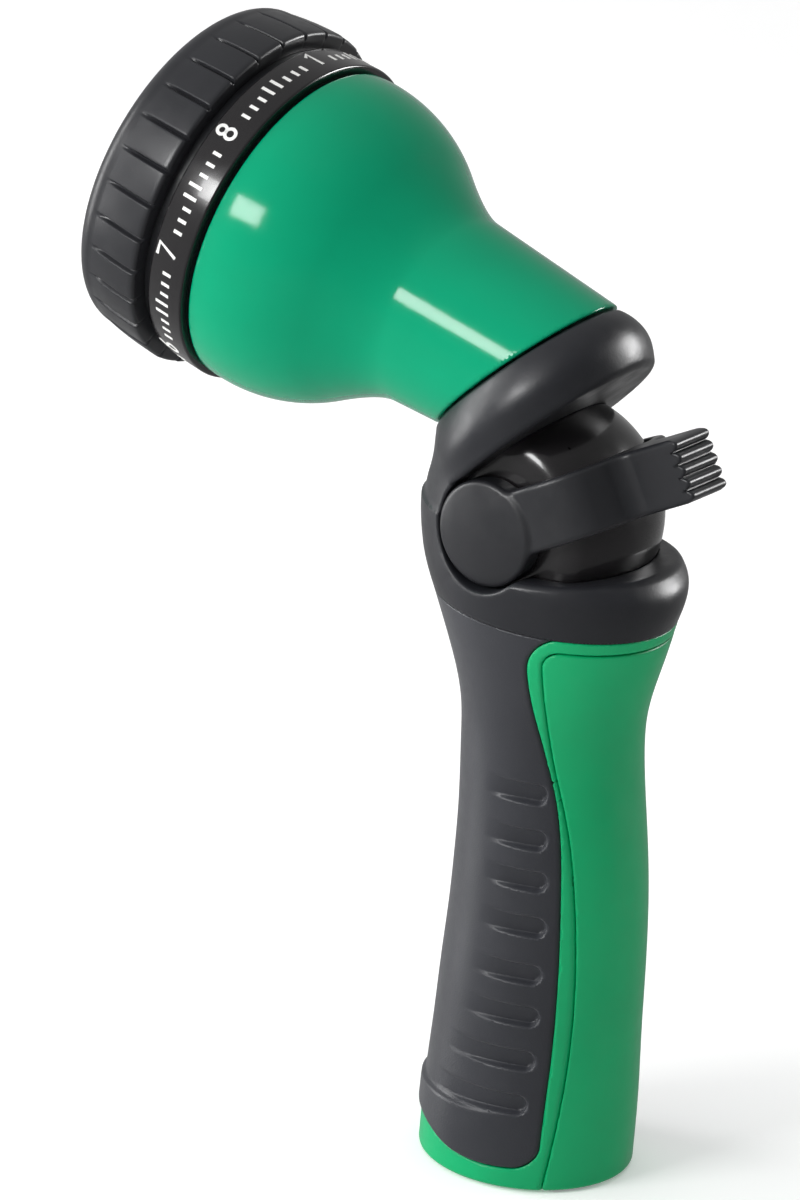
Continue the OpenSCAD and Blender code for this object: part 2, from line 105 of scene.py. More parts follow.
def both(a, b, r=0.0):
    """The space inside both a and b, with edges rounded to radius r."""
    if r <= 0:
        return np.maximum(a, b)
    u, v = np.maximum(a + r, 0), np.maximum(b + r, 0)
    return np.minimum(-r, np.maximum(a, b)) + np.hypot(u, v)


def either(a, b, r=0.0):
    """The space inside a or b, with a fillet of radius r between them."""
    return -both(-a, -b, r)


def blend(a, b, k):
    """The space inside a or b, melted together over a width k."""
    h = np.clip(0.5 + 0.5 * (b - a) / k, 0, 1)
    return b * (1 - h) + a * h - k * h * (1 - h)


def without(a, b, r=0.0):
    """The space inside a and outside b, with edges rounded to radius r."""
    return both(a, -b, r)


def along(p, origin, direction):
    return (p - origin) @ direction


def round_about(p, origin, axis):
    """Place along an axis, and distance from it."""
    q = p - origin
    t = q @ axis
    return t, np.sqrt(np.maximum((q * q).sum(1) - t * t, 0))


def rod(p, origin, axis, radius, start, end):
    """A cylinder about an axis, from start to end."""
    t, r = round_about(p, origin, axis)
    return np.maximum(r - radius, np.maximum(start - t, t - end))


def smooth_step(t):
    t = np.clip(t, 0, 1)
    return t * t * (3 - 2 * t)


# ---- Meshes ----

def add_mesh(name, points, faces, material, body, nodes=(), normals=None, sharp=None):
    """A closed mesh from points in millimetres, riding on a body."""
    mesh = bpy.data.meshes.new(name)
    mesh.from_pydata((np.asarray(points) * MM).tolist(), [], faces)
    mesh.update()
    mesh.shade_smooth()
    if normals is not None:
        mesh.normals_split_custom_set_from_vertices(normals.tolist())
    if sharp is not None:
        mesh.set_sharp_from_angle(angle=math.radians(sharp))
    mesh.materials.append(material)
    piece = bpy.data.objects.new(name, mesh)
    bpy.context.scene.collection.objects.link(piece)
    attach(piece, body)
    if nodes:
        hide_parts(*nodes)
    return piece


BLOCK = 8
NEAR_BLOCK = 1.6
BLOCKS_AT_ONCE = 400
FLAT_PULL = 0.03


def sample(field, lo, hi, step):
    """The field on a grid. Blocks far from the surface get one value."""
    lo = np.array(lo, float)
    counts = np.ceil((np.array(hi, float) - lo) / (step * BLOCK)).astype(int) + 1
    blocks = np.stack(np.meshgrid(*[np.arange(n) for n in counts], indexing="ij"), -1).reshape(-1, 3)
    coarse = field(lo + (blocks + 0.5) * BLOCK * step)
    grid = coarse.reshape(counts)
    for axis in range(3):
        grid = np.repeat(grid, BLOCK, axis)
    near = blocks[np.abs(coarse) < BLOCK * step * NEAR_BLOCK]
    offsets = np.stack(np.meshgrid(*[np.arange(BLOCK)] * 3, indexing="ij"), -1).reshape(-1, 3)
    for some in np.array_split(near, max(1, len(near) // BLOCKS_AT_ONCE)):
        index = (some[:, None] * BLOCK + offsets).reshape(-1, 3)
        grid[index[:, 0], index[:, 1], index[:, 2]] = field(lo + index * step)
    return grid, lo


def gradient(field, points, reach=0.04):
    """The field's direction of rise at each point, and how steep it is."""
    parts = []
    for axis in range(3):
        shift = np.zeros(3)
        shift[axis] = reach
        parts.append(field(points + shift) - field(points - shift))
    g = np.stack(parts, 1) / (2 * reach)
    return g / np.maximum(np.linalg.norm(g, axis=1), 1e-6)[:, None], np.linalg.norm(g, axis=1)


def moulded(name, field, lo, hi, step, material, body, nodes=()):
    """A closed mesh of the surface where the field is zero.

    Each grid cell that the surface crosses gets one point, where the planes through its crossings meet,
    so edges stay crisp. Each grid edge that the surface crosses gets one face."""
    grid, lo = sample(field, lo, hi, step)
    strides = np.array([grid.shape[1] * grid.shape[2], grid.shape[2], 1])
    flat = grid.ravel()
    inside = grid < 0
    crossings, cells = [], []
    for axis in range(3):
        u, v = (axis + 1) % 3, (axis + 2) % 3
        low = [slice(None)] * 3
        high = [slice(None)] * 3
        low[axis], high[axis] = slice(0, -1), slice(1, None)
        start = np.argwhere(inside[tuple(low)] != inside[tuple(high)])
        start = start[(start[:, u] > 0) & (start[:, v] > 0)]
        first = start @ strides
        a, b = flat[first], flat[first + strides[axis]]
        near, far = lo + start * step, lo + start * step
        far[:, axis] += step
        share = (a / (a - b))[:, None]
        for _ in range(2):
            at = near + (far - near) * share
            value = field(at)
            outer = (value > 0) == (a > 0)
            near[outer], a = at[outer], np.where(outer, value, a)
            far[~outer], b = at[~outer], np.where(outer, b, value)
            share = (a / np.where(a == b, 1, a - b))[:, None]
        quad = np.stack([first, first - strides[u], first - strides[u] - strides[v], first - strides[v]], 1)
        flip = flat[first] > 0
        quad[flip] = quad[flip][:, ::-1]
        crossings.append(near + (far - near) * share)
        cells.append(quad)
    crossings, cells = np.concatenate(crossings), np.concatenate(cells)
    used, index = np.unique(cells.ravel(), return_inverse=True)

    def gather(values):
        """Adds each crossing's value to the four cells round it."""
        return np.bincount(index, np.repeat(values, 4))

    count = np.bincount(index)
    middle = np.stack([gather(crossings[:, k]) / count for k in range(3)], 1)
    normal, _ = gradient(field, crossings)
    offset = (normal * crossings).sum(1)
    system = np.empty((len(used), 3, 3))
    side = np.empty((len(used), 3))
    for i in range(3):
        side[:, i] = gather(normal[:, i] * offset)
        for j in range(3):
            system[:, i, j] = gather(normal[:, i] * normal[:, j])
    side -= np.einsum("nij,nj->ni", system, middle)
    system += np.eye(3) * (FLAT_PULL * count)[:, None, None]
    shift = np.linalg.solve(system, side[:, :, None])[:, :, 0]
    points = middle + np.clip(shift, -0.9 * step, 0.9 * step)
    normal, slope = gradient(field, points)
    move = np.clip(field(points) / np.maximum(slope, 0.3), -0.25 * step, 0.25 * step)
    points -= move[:, None] * normal
    normal, _ = gradient(field, points)
    faces = index.reshape(-1, 4).tolist()
    return add_mesh(name, points, faces, material, body, nodes, normals=normal)


def head_point(radius, turn, forward):
    """A point about the head's axis: radius, angle from the top and place along the axis."""
    out = np.cos(turn)[..., None] * UP + np.sin(turn)[..., None] * SIDE
    return HEAD + radius[..., None] * out + forward[..., None] * FORWARD


def turned(name, outline, turns, material, body, nodes=(), sharp=30):
    """A closed ring about the head's axis. outline(turn) gives its section as radius and place."""
    rows = [outline(turn) for turn in turns]
    count = len(rows[0])
    points = np.concatenate([
        head_point(row[:, 0], np.full(count, turn), row[:, 1]) for turn, row in zip(turns, rows)])
    faces = []
    for i in range(len(turns)):
        j = (i + 1) % len(turns)
        for k in range(count):
            m = (k + 1) % count
            faces.append((i * count + k, j * count + k, j * count + m, i * count + m))
    return add_mesh(name, points, faces, material, body, nodes, sharp=sharp)


# ---- Materials ----

def shader(name):
    """A new material, its node tree and its main shader."""
    material = bpy.data.materials.new(name)
    material.use_nodes = True
    tree = material.node_tree
    return material, tree, tree.nodes["Principled BSDF"]


def noise_ramp(tree, scale, detail, low, high, coordinates):
    """A noise whose value goes from colour low to colour high."""
    noise = tree.nodes.new("ShaderNodeTexNoise")
    noise.inputs["Scale"].default_value = scale
    noise.inputs["Detail"].default_value = detail
    tree.links.new(coordinates, noise.inputs["Vector"])
    ramp = tree.nodes.new("ShaderNodeValToRGB")
    ramp.color_ramp.elements[0].position = 0.3
    ramp.color_ramp.elements[1].position = 0.7
    ramp.color_ramp.elements[0].color = (*low, 1)
    ramp.color_ramp.elements[1].color = (*high, 1)
    tree.links.new(noise.outputs["Fac"], ramp.inputs["Fac"])
    return ramp.outputs["Color"]


# Noise cells per metre of the colour drift, the gloss drift and the waviness
COLOUR_SCALE = 45
GLOSS_SCALE = 260
WAVE_SCALE = 70
PLASTIC_IOR = 1.5
COAT_ROUGHNESS = 0.05


def plastic(name, colour, roughness, vary=0.08, gloss_vary=0.06, grain=900, grain_height=0.00002,
            wave=0.0, coat=0.0, metallic=0.0, sheen=0.0, specular=0.5):
    """Moulded plastic, rubber or metal: slow colour and gloss drift, fine grain and a slight waviness."""
    material, tree, main = shader(name)
    nodes, links = tree.nodes, tree.links
    place = nodes.new("ShaderNodeTexCoord").outputs["Object"]
    low = [c * (1 - vary) for c in colour]
    high = [min(1, c * (1 + vary)) for c in colour]
    links.new(noise_ramp(tree, COLOUR_SCALE, 3, low, high, place), main.inputs["Base Color"])
    rough_low, rough_high = roughness - gloss_vary, roughness + gloss_vary
    rough = noise_ramp(tree, GLOSS_SCALE, 4, [rough_low] * 3, [rough_high] * 3, place)
    links.new(rough, main.inputs["Roughness"])
    main.inputs["IOR"].default_value = PLASTIC_IOR
    main.inputs["Specular IOR Level"].default_value = specular
    main.inputs["Metallic"].default_value = metallic
    main.inputs["Coat Weight"].default_value = coat
    main.inputs["Coat Roughness"].default_value = COAT_ROUGHNESS
    main.inputs["Sheen Weight"].default_value = sheen
    last = None
    for scale, height in ((grain, grain_height), (WAVE_SCALE, wave)):
        if height <= 0:
            continue
        noise = nodes.new("ShaderNodeTexNoise")
        noise.inputs["Scale"].default_value = scale
        noise.inputs["Detail"].default_value = 3
        links.new(place, noise.inputs["Vector"])
        bump = nodes.new("ShaderNodeBump")
        bump.inputs["Distance"].default_value = height
        bump.inputs["Strength"].default_value = 1
        links.new(noise.outputs["Fac"], bump.inputs["Height"])
        if last:
            links.new(last.outputs["Normal"], bump.inputs["Normal"])
        last = bump
    if last:
        links.new(last.outputs["Normal"], main.inputs["Normal"])
    return material


GREEN_GLOSS = plastic("green_gloss_plastic", (0.0, 0.295, 0.145), 0.12, vary=0.04, gloss_vary=0.02,
                      grain=1500, grain_height=0.000002, wave=0.00002, specular=0.3)
GREEN_SATIN = plastic("green_satin_plastic", (0.0, 0.36, 0.13), 0.36, vary=0.05, gloss_vary=0.04,
                      grain=2200, grain_height=0.000008, wave=0.00002, specular=0.3)
BLACK_GLOSS = plastic("black_gloss_plastic", (0.012, 0.011, 0.012), 0.2, vary=0.15, gloss_vary=0.04,
                      grain=1500, grain_height=0.000003, wave=0.00002, coat=0.3)
BLACK_PLASTIC = plastic("black_satin_plastic", (0.017, 0.0176, 0.0205), 0.36, vary=0.12,
                        grain=2600, grain_height=0.000015)
SOFT_BLACK = plastic("soft_black_plastic", (0.015, 0.0158, 0.0195), 0.38, vary=0.12,
                     grain=2600, grain_height=0.00002)
SOFT_GRIP = plastic("soft_grip_rubber", (0.024, 0.0255, 0.032), 0.42, vary=0.1,
                    grain=3000, grain_height=0.00003, sheen=0.1)
SEAL_RUBBER = plastic("seal_rubber", (0.016, 0.016, 0.017), 0.5, vary=0.12, grain_height=0.00003)
ACETAL = plastic("inner_acetal", (0.7, 0.69, 0.64), 0.35, vary=0.03, grain_height=0.00001)
STEEL = plastic("stainless_steel", (0.58, 0.58, 0.6), 0.3, vary=0.05, grain=1800,
                grain_height=0.000008, metallic=1.0)
WHITE_INK = plastic("white_printed_ink", (0.82, 0.82, 0.8), 0.45, vary=0.04, grain=4000,
                    grain_height=0.00001)

CAD_FINISH = {
    "green_gloss": GREEN_GLOSS, "green_satin": GREEN_SATIN, "black_gloss": BLACK_GLOSS,
    "black_plastic": BLACK_PLASTIC, "soft_grip": SOFT_GRIP, "seal_rubber": SEAL_RUBBER,
    "inner_plastic": ACETAL, "steel": STEEL,
}


# ---- Handle ----

# Sections of the handle: height, centre in X, half length in X, half width in Y
SECTIONS = np.array([
    (0, 0, 20.5, 20.5), (14, 0, 20.4, 20.4), (26, 0, 19.9, 19.9), (38.6, 0, 19.5, 19.5),
    (50.8, -0.05, 19.0, 18.9), (59, -0.4, 18.6, 18.5), (71, -1.4, 17.9, 17.8),
    (83, -2.7, 17.5, 17.4), (91.4, -3.25, 17.9, 17.6), (103.6, -4.1, 21.4, 19.6), (112, -5.2, 24.5, 20.8)])
SECTION_X, SECTION_RX, SECTION_RY = (smooth_curve(SECTIONS[:, 0], SECTIONS[:, k]) for k in (1, 2, 3))

# Side view of the parting between the green shells, and of the grip's rear edge: X at each height
PARTING_X = smooth_curve([0, 14, 28, 41, 57, 75, 88, 100, 106, 120],
                         [14.2, 15.4, 15.7, 15.4, 13.9, 10.3, 6.8, 5.4, 5.2, 5.2])
GRIP_X = smooth_curve([0, 26, 43, 59, 78.5, 88, 97, 106, 120],
                      [13.4, 13.5, 13.1, 11.8, 8.5, 5.7, 3.4, 2.4, 2.2])
# Height of the grip's lower edge at each X: it dips at the sides
FOOT_Z = smooth_curve([-26, -18, -11.5, -5, 0, 5, 10, 18], [9.2, 8.8, 7.5, 5.4, 4.4, 4.1, 4.3, 5])
# Radii of the hard core under the grip, and of the bore in it
CORE_R = straight_curve([0, 50, 78, 90, 116], [17.8, 16.3, 15.6, 15.8, 18.4])
CAVITY_R = straight_curve([0, 26, 41, 120], [16.9, 16.9, 12.6, 12.6])

FOOT_ROUND = 4.5
SHOULDER_ROUND = 8.0
SHOULDER_RISE = 0.6
COVER_TOP = 109.4
COVER_ROUND = 3.5
BASE_ROUND = 1.0
EDGE = 0.5
GRIP_POCKET_EDGE = 0.35
HALF_GAP = 0.09
GRIP_FIT = 0.03

# Screws that join the shells: Y, Z and where the rear boss ends
SCREWS = [(side * 9.2, z, end) for z, end in ((36, 16.2), (62, 14.4)) for side in (-1, 1)]
SCREW_HOLE_R = 1.3
SCREW_BITE_R = 1.27
SCREW_END_GAP = 1.8
SCREW_HEAD_R = 2.5
SCREW_HEAD_X = -10.6
FRONT_BOSS_R = 2.1
FRONT_BOSS_X = -16
FRONT_BOSS_SKIN = 1.0
REAR_BOSS_R = 2.6
REAR_BOSS_X = 8.2
REAR_BOSS_SKIN = 2.2
REAR_BOSS_FIT = 0.1
REAR_BOSS_ROOM = 0.2
REAR_BOSS_ROOM_SKIN = 2.5
FAR = 40.0
X_AXIS = np.array([1.0, 0.0, 0.0])

# The valve chamber: a ball with flat sides and a flat front, and the room left round it
CHAMBER_R = 23.0
CHAMBER_HALF = 14.9
CHAMBER_FRONT = 11.0
CHAMBER_SIDE_EDGE = 2.0
CHAMBER_FRONT_EDGE = 0.8
CHAMBER_GAP = 0.15

# Where the waterway tube's centreline starts, in the socket
TUBE_START = np.array([0.0, 0.0, 16.5])
TUBE_LEN = np.linalg.norm(PIVOT - TUBE_START)
TUBE = (PIVOT - TUBE_START) / TUBE_LEN
OUTLET_LEN = np.linalg.norm(SEAM - PIVOT)
OUTLET = (SEAM - PIVOT) / OUTLET_LEN


def handle_side(p):
    """The handle's outer form without its ends."""
    x, y, z = p.T
    rx, ry = SECTION_RX(z), SECTION_RY(z)
    return (np.hypot((x - SECTION_X(z)) / rx, y / ry) - 1) * np.minimum(rx, ry)


def handle_form(p):
    z = p[:, 2]
    return both(both(handle_side(p), -z, BASE_ROUND), z - HANDLE_TOP)


def rear_outline(p):
    """Side view of the rear cover: behind the parting line, with a round corner under the handle's top."""
    x, _, z = p.T
    return both(PARTING_X(z) - x, z - COVER_TOP, COVER_ROUND)


def leaning(p, radius_at):
    """A round form about the handle's leaning centreline, with its radius at each place along it."""
    t, r = round_about(p, np.zeros(3), CORE_AXIS)
    return r - radius_at(t)


def grip_outline(p):
    """Side view of the grip: ahead of its rear edge, above its foot, and past the green corner on top."""
    x, _, z = p.T
    green = both(GRIP_X(z) - x, z - HANDLE_TOP - SHOULDER_RISE, SHOULDER_ROUND)
    return both(-green, FOOT_Z(x) - z, FOOT_ROUND)


def chamber_ball(p, grow=0.0):
    """The valve chamber's outside, grown all round."""
    form = np.linalg.norm(p - PIVOT, axis=1) - CHAMBER_R - grow
    form = both(form, np.abs(p[:, 1]) - CHAMBER_HALF - grow, CHAMBER_SIDE_EDGE)
    return both(form, PIVOT[0] - CHAMBER_FRONT - grow - p[:, 0], CHAMBER_FRONT_EDGE)


def screw_rods(p, radius, start, extra=0.0):
    """A rod on each screw's axis, from start to its boss's end."""
    return np.minimum.reduce([
        rod(p, np.array([0, y, z]), X_AXIS, radius, start, end + extra) for y, z, end in SCREWS])


def front_shell(p):
    wall = without(handle_form(p), leaning(p, CAVITY_R))
    grip_room = np.maximum(grip_outline(p) - HALF_GAP, -leaning(p, CORE_R))
    wall = without(wall, grip_room, GRIP_POCKET_EDGE)
    bosses = np.maximum(screw_rods(p, FRONT_BOSS_R, FRONT_BOSS_X), leaning(p, CORE_R) + FRONT_BOSS_SKIN)
    wall = np.minimum(wall, bosses)
    wall = both(wall, HALF_GAP - rear_outline(p), EDGE)
    wall = without(wall, chamber_ball(p, CHAMBER_GAP))
    rear_room = screw_rods(p, REAR_BOSS_R + REAR_BOSS_ROOM, REAR_BOSS_X - REAR_BOSS_ROOM, 8)
    wall = without(wall, np.maximum(rear_room, leaning(p, CORE_R) - REAR_BOSS_ROOM_SKIN))
    wall = without(wall, screw_rods(p, SCREW_HOLE_R, -FAR))
    heads = [rod(p, np.array([0, y, z]), X_AXIS, SCREW_HEAD_R, -FAR, SCREW_HEAD_X) for y, z, _ in SCREWS]
    return without(wall, np.minimum.reduce(heads))


def rear_cover(p):
    wall = both(handle_form(p), rear_outline(p) + HALF_GAP, EDGE)
    wall = without(wall, leaning(p, CAVITY_R))
    bosses = np.maximum(screw_rods(p, REAR_BOSS_R, REAR_BOSS_X), leaning(p, CORE_R) - REAR_BOSS_SKIN)
    bosses = without(bosses, np.maximum(grip_outline(p) - REAR_BOSS_FIT, -leaning(p, CORE_R)))
    return without(np.minimum(wall, bosses), screw_rods(p, SCREW_BITE_R, 0, -SCREW_END_GAP))


# Finger pads on each side: height, and the angles from the back where each starts and has faded out
PADS = [(79.5, 63, 101), (70.5, 60, 97), (62.5, 57, 94), (53.5, 55, 92),
        (44, 55, 94), (35.5, 54, 97), (26.5, 54, 106), (17.5, 56, 116)]
PAD_HALF = 2.25
PAD_DEPTH = 1.3
PAD_WALL = 0.7
PAD_ARC_R = 19.0
PAD_FLAT_TURN = 12.0
PAD_FADE_EARLY = 4.0
PAD_TILT = 0.3

# The foot of the grip: how far it stands proud, the height of its step, and where it fades out
BOOT_DEPTH = 0.75
BOOT_STEP = 0.9
BOOT_START = 62.0
BOOT_FADE = 45.0


def side_turn(p):
    """The angle round the handle from the back, in degrees, the same on both sides."""
    return np.degrees(np.arctan2(np.abs(p[:, 1]), p[:, 0]))


def pad_depth(p):
    """How deep the finger pads are pressed into the grip at each point."""
    turn = side_turn(p)
    depth = np.zeros(len(p))
    for height, start, fade in PADS:
        across = p[:, 2] - height
        down = np.radians(turn - start) * PAD_ARC_R - PAD_HALF
        distance = np.where(down < 0, np.hypot(down, across), np.abs(across)) - PAD_HALF
        wall = smooth_step(-distance / PAD_WALL)
        share = 1 - smooth_step((turn - start - PAD_FLAT_TURN) / (fade - start - PAD_FADE_EARLY))
        slope = 0.8 - PAD_TILT * across / PAD_HALF
        depth = np.maximum(depth, PAD_DEPTH * wall * share * slope)
    return depth


def boot(p):
    """How far the grip's foot stands proud below the lowest pads, round the front."""
    step = smooth_step((PADS[-1][0] - PAD_HALF - p[:, 2]) / BOOT_STEP)
    return BOOT_DEPTH * step * smooth_step((side_turn(p) - BOOT_START) / BOOT_FADE)


def grip(p):
    skin = handle_side(p) + pad_depth(p) - boot(p)
    form = both(skin, grip_outline(p) + HALF_GAP, EDGE)
    form = both(form, p[:, 2] - HANDLE_TOP)
    form = without(form, leaning(p, CORE_R) - GRIP_FIT)
    return without(form, chamber_ball(p, CHAMBER_GAP))


# ---- Valve housing and lever ----

# Sections under the seam: depth, front and rear ends along the seam, half width
COLLAR = np.array([
    (0.5, -21.5, 21.5, 18.1), (1.5, -22.3, 22.2, 18.8), (4, -24.3, 23.4, 20.2), (8, -26.4, 23.6, 21.4),
    (11, -28.5, 22.6, 21.1), (14, -30.8, 20.6, 20.8), (18, -34.2, 16, 20.5), (23.8, -38.05, 8.95, 20.5)])
COLLAR_FRONT, COLLAR_REAR, COLLAR_RY = (smooth_curve(COLLAR[:, 0], COLLAR[:, k]) for k in (1, 2, 3))
# Sections of the shoulder: height, front and rear ends in X, half width
SHOULDER = np.array([
    (112, -29.7, 19.3, 20.8), (115, -31.3, 20.3, 21.2), (118.5, -32.6, 20.9, 21.5),
    (121, -33.1, 20.4, 21.4), (124, -33.5, 18, 20.9), (128.6, -33.7, 13.5, 20.5)])
SHOULDER_FRONT, SHOULDER_REAR, SHOULDER_RY = (smooth_curve(SHOULDER[:, 0], SHOULDER[:, k]) for k in (1, 2, 3))
HOUSING_SPLIT = 128.6
HOUSING_LIFT = 0.1
COLLAR_TOP = 0.5
COLLAR_BOTTOM = 23.8
COLLAR_EDGE = 0.6
# The form that joins collar and shoulder round the ball: its half length in X, Y and Z
SHROUD = np.array([23.5, 20.5, 23.5])
HOUSING_MELT = 2.0

# The open saddle behind the pivot
LEDGE = 120.8
LEDGE_SLOPE = math.radians(6.5)
SADDLE_CORNER = 0.3
SADDLE_EDGE = 1.1

# The lever's round bosses, and the recesses that they turn in
RECESS_R = 10.9
RECESS_GAP = 0.3
RECESS_EDGE = 0.7
BOSS_R = 10.4
BOSS_IN = 15.3
BOSS_OUT = 18.2
BOSS_FACE = 20.4
BOSS_DOME = 0.012
BOSS_EDGE = 0.8
BOSS_FILLET = 1.0

# The water path: its radius, the pockets for the seats, and the channels in the housing.
# Pairs are distances before the pivot on the tube's line.
WATER_R = 4.5
CHAMBER_INLET = 14
TUBE_CHANNEL = (40, 10)
SEAT_R = 7.05
SEAT_END = 13.1
TUBE_SOCKET = (36.0, 15.5)
BARREL_R = 9.5
OUTLET_R = 8.0
OUTLET_CHANNEL_R = 8.2
TUBE_CHANNEL_R = 10.2
SPIGOT_R = 12.0
SPIGOT_IN_R = 9.0
SPIGOT_GAP = 0.15
SPIGOT_START = -5
SPIGOT_POCKET = -12
SPIGOT_END = 8.0

# The lever: its height, its arms round the ball, and its tab with rounded ridges on the end
LEVER_H = 12.5
ARM_OUT_R = 26.5
ARM_IN_R = 23.5
ARM_ROUND = 5.0
ARM_FLARE = 0.5
ARM_FLARE_END = 22
ARM_FLARE_LEN = 14
ARM_EDGE = 1.0
TAB_HALF = 5.5
TAB_START = 22.8
TAB_END = 40.0
TAB_EDGE = 0.6
TAB_FILLET = 3.0
RIDGES = 5
RIDGE_DEPTH = 1.9
SQUARE_HALF = 4.05
SQUARE_DEPTH = 17.0


def section_form(x, y, front, rear, half_width):
    """An oval between its front and rear ends."""
    half = (rear - front) / 2
    return (np.hypot((x - (front + rear) / 2) / half, y / half_width) - 1) * np.minimum(half, half_width)


def housing_form(p):
    y = p[:, 1]
    depth = -along(p, SEAM, SEAM_OUT)
    x = along(p, SEAM, SEAM_ALONG)
    collar = section_form(x, y, COLLAR_FRONT(depth), COLLAR_REAR(depth), COLLAR_RY(depth))
    collar = both(both(collar, COLLAR_TOP - depth, COLLAR_EDGE), depth - COLLAR_BOTTOM)
    height = p[:, 2]
    shoulder = section_form(p[:, 0], y, SHOULDER_FRONT(height), SHOULDER_REAR(height), SHOULDER_RY(height))
    shoulder = both(shoulder, height - HOUSING_SPLIT)
    ball = (np.linalg.norm((p - PIVOT) / SHROUD, axis=1) - 1) * SHROUD[1]
    form = blend(blend(collar, ball, HOUSING_MELT), shoulder, HOUSING_MELT)
    return both(form, HANDLE_TOP + HOUSING_LIFT - height)


def saddle(p):
    """The open space behind the pivot, between the collar and the ledge."""
    q = p - PIVOT
    ledge = (LEDGE - PIVOT[2] - q[:, 2] + q[:, 0] * math.tan(LEDGE_SLOPE)) * math.cos(LEDGE_SLOPE)
    rim = q @ SEAM_OUT - RECESS_R
    back = np.minimum(-q[:, 0], -(q @ SEAM_ALONG))
    return both(both(ledge, rim, SADDLE_CORNER), back)


def outlet_rod(p, radius, start, end):
    """A rod on the line from the pivot to the seam."""
    return rod(p, PIVOT, OUTLET, radius, start, end)


def tube_rod(p, radius, start, end):
    """A rod on the waterway tube's line, between two distances before the pivot."""
    return rod(p, TUBE_START, TUBE, radius, TUBE_LEN - start, TUBE_LEN - end)


def valve_housing(p):
    form = without(housing_form(p), saddle(p), SADDLE_EDGE)
    form = without(form, chamber_ball(p, CHAMBER_GAP))
    q = p - PIVOT
    recess = np.maximum(np.hypot(q[:, 0], q[:, 2]) - RECESS_R, BOSS_IN - RECESS_GAP - np.abs(q[:, 1]))
    form = without(form, recess, RECESS_EDGE)
    form = without(form, rod(p, SEAM, SEAM_OUT, SPIGOT_R + SPIGOT_GAP, SPIGOT_POCKET, SPIGOT_END))
    form = without(form, outlet_rod(p, OUTLET_CHANNEL_R, 0, OUTLET_LEN))
    return without(form, tube_rod(p, TUBE_CHANNEL_R, *TUBE_CHANNEL))


def valve_chamber(p):
    form = np.minimum(chamber_ball(p), outlet_rod(p, OUTLET_R, 0, OUTLET_LEN))
    form = np.minimum(form, rod(p, SEAM, SEAM_OUT, SPIGOT_R, SPIGOT_START, SPIGOT_END))
    form = without(form, rod(p, SEAM, SEAM_OUT, SPIGOT_IN_R, -1, 20))
    form = without(form, outlet_rod(p, WATER_R, 0, OUTLET_LEN + 1))
    form = without(form, outlet_rod(p, SEAT_R, 0, SEAT_END))
    form = without(form, tube_rod(p, WATER_R, CHAMBER_INLET, 0))
    form = without(form, tube_rod(p, SEAT_R, SEAT_END, 0))
    form = without(form, tube_rod(p, SEAT_R, *TUBE_SOCKET))
    return without(form, rod(p, PIVOT, SIDE, BARREL_R, -FAR, FAR))


def lever_form(p):
    q = p - PIVOT
    x, y, z = q @ LEVER_X, q[:, 1], q @ LEVER_Z
    reach = np.hypot(x, y)
    flare = np.abs(y) - BOSS_OUT - ARM_FLARE * smooth_step((ARM_FLARE_END - x) / ARM_FLARE_LEN)
    outer = both(reach - ARM_OUT_R, flare, ARM_ROUND)
    inner = both(reach - ARM_IN_R, np.abs(y) - BOSS_IN, ARM_EDGE)
    arms = np.maximum(without(outer, inner), -x)
    ridge = np.abs(np.sin(np.pi * (z + LEVER_H / 2) / (LEVER_H / RIDGES)))
    end = x - TAB_END + RIDGE_DEPTH * (1 - np.sqrt(ridge + 0.001))
    tab = both(both(np.abs(y) - TAB_HALF, end, TAB_EDGE), TAB_START - x)
    bar = both(either(arms, tab, TAB_FILLET), np.abs(z) - LEVER_H / 2, ARM_EDGE)
    ring = np.hypot(x, z)
    disc = both(ring - BOSS_R, np.abs(y) - BOSS_FACE + BOSS_DOME * ring ** 2, BOSS_EDGE)
    disc = np.maximum(disc, BOSS_IN - np.abs(y))
    square = np.maximum(np.maximum(np.abs(x), np.abs(z)) - SQUARE_HALF, np.abs(y) - SQUARE_DEPTH)
    return without(either(bar, disc, BOSS_FILLET), square)


# ---- Spray head ----

BULB_R = 32.3
BULB_AT = -3.4
NECK_R = 19.6
NECK_AT = -31.9
NECK_TAPER = 0.064
WAIST_FILLET = 6.0
HEAD_WALL = 2.8
HEAD_FRONT_EDGE = 0.7
HEAD_SEAM_EDGE = 0.5
CAVITY_END = -8
PLATE_R = 28.8
PLATE_START = -8.3
NECK_BORE_R = 12.5
NECK_BORE_START = -48
NECK_BORE_END = -23
SPIGOT_SOCKET_R = 12.05
SPIGOT_SOCKET_END = 8.2


def head_shell(p):
    t, r = round_about(p, HEAD, FORWARD)
    bulb = np.hypot(r, t - BULB_AT) - BULB_R
    neck = r - NECK_R - NECK_TAPER * (t - NECK_AT)
    form = either(bulb, neck, WAIST_FILLET)
    form = both(form, t, HEAD_FRONT_EDGE)
    form = both(form, -along(p, SEAM, SEAM_OUT), HEAD_SEAM_EDGE)
    form = without(form, np.maximum(bulb + HEAD_WALL, t - CAVITY_END))
    form = without(form, np.maximum(r - PLATE_R, PLATE_START - t))
    neck_bore = np.maximum(NECK_BORE_START - t, t - NECK_BORE_END)
    form = without(form, np.maximum(r - NECK_BORE_R, neck_bore))
    return without(form, rod(p, SEAM, SEAM_OUT, SPIGOT_SOCKET_R, -1, SPIGOT_SOCKET_END))


def arc_points(centre_r, centre_t, radius, start, end, count):
    """Points on an arc of a ring's section, as radius and place."""
    a = np.radians(np.linspace(start, end, count))
    return [(centre_r + radius * math.cos(v), centre_t + radius * math.sin(v)) for v in a]


BAND_BORE = 31.45
BAND_REAR = 0.9
BAND_FRONT = 9.2
BAND_ROUND = 0.45


